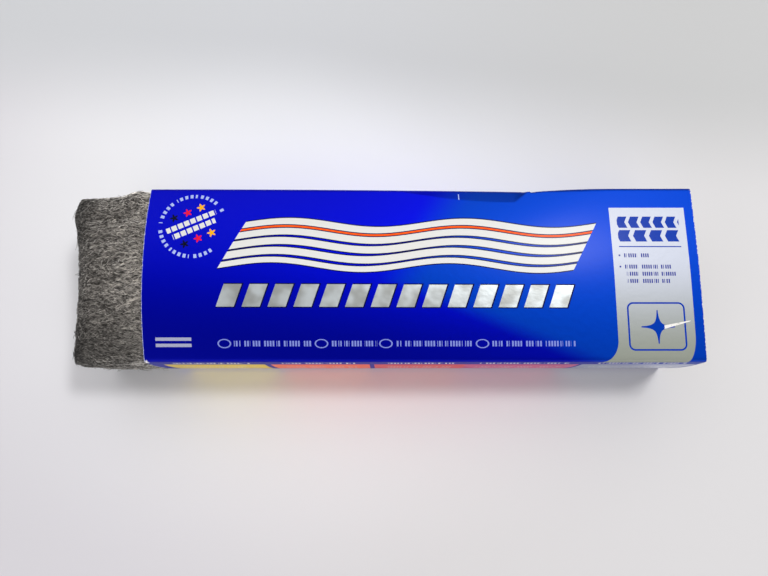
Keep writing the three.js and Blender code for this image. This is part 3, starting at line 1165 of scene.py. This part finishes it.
def make_print():
    coat = Coat("blue_print_with_painted_shade_and_sheen")
    vector = coat.marked("print_place").outputs["Vector"]
    u, v, zero = separate(coat.nodes, vector)
    # Painted shade and sheen: the blue darkens toward the front, and turns lighter and greener toward
    # the right.
    blue = coat.mix_colours(v.spread(SHADE_HEAD, SHADE_FOOT), BLUE_LEFT, SHADED_FRONT_BLUE)
    # painted sheen: the blue turns lighter and greener toward the right
    edge = ((v - PAINTED_SHEEN_FROM) * PAINTED_SHEEN_SLOPE_BELOW).or_more((v - PAINTED_SHEEN_FROM) * PAINTED_SHEEN_SLOPE_ABOVE)
    blue = coat.mix_colours((u - edge).spread(*PAINTED_SHEEN_FADE), blue, PANEL_PRINT_AND_SHEEN_BLUE)
    coat.start(blue, BLUE_METAL, BLUE_ROUGH, zero)
    clouds = coat.noise(vector, scale=0.09, detail=2).spread(start=0.35, end=0.65)
    silver = coat.mix_colours(clouds, DULL_SILVER, SILVER)
    print_ribbons(coat, u, v)
    print_blocks(coat, u, v, silver)
    print_badge(coat, u, v)
    print_small_rows(coat, u, v)
    print_panel(coat, u, v)
    print_front(coat, u, v)
    print_wear_and_edge_highlight(coat, u, v, vector)
    coat.settle(PRINT_GLOSS)
    broad = coat.noise(vector, scale=0.35, detail=3)
    fine = coat.noise(vector, scale=2.2, detail=2)
    coat.bump(broad + fine * FINE_WAVE_SHARE, CARD_WAVE_HEIGHT)
    return coat.finish()


# The bare board and the steel wool. Lengths are in metres.

BOARD_DARK = linear(205, 200, 192)
BOARD_LIGHT = linear(226, 222, 216)
BOARD_GRAIN_HEIGHT = 0.0001
# colour of the painted shade on the wool
PAINTED_SHADE_DARK = linear(6, 5, 5)
BLOCK_DARK = linear(52, 48, 45)
BLOCK_LIGHT = linear(146, 140, 134)
BLOCK_STRETCH = (0.4, 1, 1)
BLOCK_STRAND_HEIGHT = 0.0008
FIBRE_DARK = linear(44, 40, 37)
FIBRE_LIGHT = linear(255, 249, 241)

# Painted shade on the wool: the share of its own colour that it keeps at its free end and its front,
# and the places over which it grows to 1
FREE_END_SHADE_SHARE, FREE_END_SHADE_REACH = 0.22, 0.022
FRONT_SHADE_SHARE, FRONT_SHADE_PLACES = 0.52, (-0.044, -0.004)


def make_board():
    coat = Coat("grey_card_inside")
    vector = coat.object_place()
    specks = coat.noise(vector, scale=900, detail=4).spread(start=0.35, end=0.7)
    coat.colour = coat.mix_colours(specks, BOARD_DARK, BOARD_LIGHT)
    coat.settle({"Roughness": 0.85})
    coat.bump(coat.noise(vector, scale=1500, detail=3), BOARD_GRAIN_HEIGHT)
    return coat.finish()


def painted_shade_share(coat, vector):
    """1 where the wool shows its own colour, and less toward its free end and its front, darkened there
    by painted shade.
    """
    x, y, _ = separate(coat.nodes, vector)
    free_end = (PAD_FREE + SHIFT) * MM
    along = x.spread(free_end, free_end + FREE_END_SHADE_REACH, FREE_END_SHADE_SHARE, 1)
    return along * y.spread(*FRONT_SHADE_PLACES, FRONT_SHADE_SHARE, 1)


def make_wool_block():
    coat = Coat("steel_wool_block")
    place = coat.object_place()
    stretch = coat.nodes.new("ShaderNodeMapping")
    stretch.inputs["Scale"].default_value = BLOCK_STRETCH
    coat.links.new(place, stretch.inputs["Vector"])
    strands = coat.noise(stretch.outputs["Vector"], scale=1100, detail=4, roughness=0.7)
    wool = coat.mix_colours(strands.spread(start=0.42, end=0.62), BLOCK_DARK, BLOCK_LIGHT)
    # painted shade: the wool darker toward its free end and its front
    coat.colour = coat.mix_colours(painted_shade_share(coat, place), PAINTED_SHADE_DARK, wool)
    coat.settle({"Metallic": 0.2, "Roughness": 0.7})
    coat.bump(strands, BLOCK_STRAND_HEIGHT)
    return coat.finish()


def make_fibre():
    coat = Coat("steel_wool_fibre")
    tone = Field(coat.nodes, coat.marked("fibre_tone").outputs["Fac"])
    wool = coat.mix_colours(tone.spread(start=0.15, end=0.95), FIBRE_DARK, FIBRE_LIGHT)
    # painted shade: the fibres darker toward the free end and the front
    coat.colour = coat.mix_colours(painted_shade_share(coat, coat.object_place()), PAINTED_SHADE_DARK, wool)
    coat.settle({"Metallic": 0.45, "Roughness": 0.4})
    return coat.finish()


# Surroundings, in metres

FLOOR_REACH = 3.0
# A painted pool of light on the table, lightest just behind the pack
LIGHT_POOL_PLACE = (-0.05, 0.055)
LIGHT_POOL_SQUEEZE = 0.9  # distances along X count for this share
LIGHT_POOL_REACH = (0.045, 0.25)
LIGHT_POOL_COLOUR = linear(252, 252, 254)
FLOOR_LEFT, FLOOR_RIGHT = linear(213, 210, 215), linear(212, 210, 211)
FLOOR_SIDES = (-0.16, 0.06)
# Painted shade: the table darker toward the back and the right
BACK_SHADE_LEFT, BACK_SHADE_RIGHT = linear(204, 205, 208), linear(190, 190, 190)
BACK_SHADE_SIDES = (-0.1, 0.2)
BACK_SHADE_PLACES = (0.085, 0.165)
BACK_SHADE_SLANT = 0.12
CLOUD_DEPTH = 0.04
FLOOR_GRAIN_HEIGHT = 0.0002

LAMP_AIM = (0.095, 0.015, 0.05)
LAMP_DIRECTION = (0.32, 0.245, 0.90)
LAMP_DISTANCE = 1.2
LAMP_SIZE = (0.24, 0.16)
LAMP_POWER = 6.4

# Light from the room, by the parts of its direction. Z is 1 straight up.
SKY_LOW = 0.2
SKY_FRONT = 1.5
SKY_FRONT_Y, SKY_FRONT_Z = (-0.1, -0.5), (0.85, 0.4)
SKY_BACK = 1.5
SKY_BACK_Y, SKY_BACK_Z = (0, 0.55), (0.35, 0.55)
SKY_BACK_X = (-0.8, 0.8)
SKY_BACK_LEFT, SKY_BACK_GAIN = 0.85, 0.15  # its share at the left, and its gain to the right
SKY_SEEN = 0.9  # what the camera sees past the table


def build_floor():
    coat = Coat("white_table")
    place = coat.object_place()
    x, y, _ = separate(coat.nodes, place)
    cloud = coat.noise(place, scale=3, detail=2) * CLOUD_DEPTH
    light_pool_x, light_pool_y = LIGHT_POOL_PLACE
    reach = reach_of((x - light_pool_x) * LIGHT_POOL_SQUEEZE, y - light_pool_y) + cloud
    side = coat.mix_colours(x.spread(*FLOOR_SIDES), FLOOR_LEFT, FLOOR_RIGHT)
    # the painted pool of light
    near = coat.mix_colours(reach.spread(*LIGHT_POOL_REACH), LIGHT_POOL_COLOUR, side)
    # painted shade toward the back and the right
    back = coat.mix_colours(x.spread(*BACK_SHADE_SIDES), BACK_SHADE_LEFT, BACK_SHADE_RIGHT)
    far = (y + x * BACK_SHADE_SLANT + cloud).spread(*BACK_SHADE_PLACES)
    coat.colour = coat.mix_colours(far, near, back)
    coat.settle({"Roughness": 0.5, "Specular IOR Level": 0.2})
    coat.bump(coat.noise(place, scale=60, detail=3), FLOOR_GRAIN_HEIGHT)
    signs = ((-1, -1), (1, -1), (1, 1), (-1, 1))
    corners = [(FLOOR_REACH * side_x, FLOOR_REACH * side_y, 0) for side_x, side_y in signs]
    mesh = bpy.data.meshes.new("table")
    mesh.from_pydata(corners, [], [(0, 1, 2, 3)])
    mesh.materials.append(coat.finish())
    table = add_object("table", mesh)


def build_sky():
    world = bpy.data.worlds.new("room")
    bpy.context.scene.world = world
    world.use_nodes = True
    nodes = world.node_tree.nodes
    x, y, z = separate(nodes, nodes.new("ShaderNodeTexCoord").outputs["Generated"])
    front = z.spread(*SKY_FRONT_Z) * y.spread(*SKY_FRONT_Y) * SKY_FRONT
    across = x.spread(*SKY_BACK_X) * SKY_BACK_GAIN + SKY_BACK_LEFT
    back = y.spread(*SKY_BACK_Y) * across * z.spread(*SKY_BACK_Z) * SKY_BACK
    light = front + back + SKY_LOW
    seen = Field(nodes, nodes.new("ShaderNodeLightPath").outputs["Is Camera Ray"])
    light = light * seen.but() + seen * SKY_SEEN
    world.node_tree.links.new(light.socket, nodes["Background"].inputs["Color"])


def build_lamp():
    lamp = bpy.data.lights.new("window", "AREA")
    lamp.energy = LAMP_POWER
    lamp.shape = "RECTANGLE"
    lamp.size, lamp.size_y = LAMP_SIZE
    holder = add_object("window", lamp)
    away = Vector(LAMP_DIRECTION).normalized()
    holder.location = Vector(LAMP_AIM) + away * LAMP_DISTANCE
    holder.rotation_euler = away.to_track_quat("Z", "Y").to_euler()


def build_camera():
    lens = bpy.data.cameras.new("camera")
    lens.sensor_width = SENSOR_WIDTH
    lens.lens = FOCAL_PIXELS / IMAGE_WIDTH * SENSOR_WIDTH
    lens.clip_start = CAMERA_NEAREST
    camera = add_object("camera", lens)
    turn = Matrix.Identity(4)
    for angle, axis in zip(CAMERA_TURNS, "XYZ"):
        turn = turn @ Matrix.Rotation(math.radians(angle), 4, axis)
    place = (Vector(CAMERA_PLACE) + Vector((SHIFT, 0, 0))) * MM
    camera.matrix_world = Matrix.Translation(place) @ turn
    bpy.context.scene.camera = camera


# The whole picture

sleeve = build_sleeve(make_print(), make_board())
pad = build_pad(make_wool_block())
fibres = build_fibres(pad, make_fibre())

for piece in (sleeve, pad, *fibres):
    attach(piece, "root")
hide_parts("card_sleeve")
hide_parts("wool_pad")

build_floor()
build_sky()
build_lamp()
build_camera()
bpy.context.scene.view_settings.view_transform = "Standard"
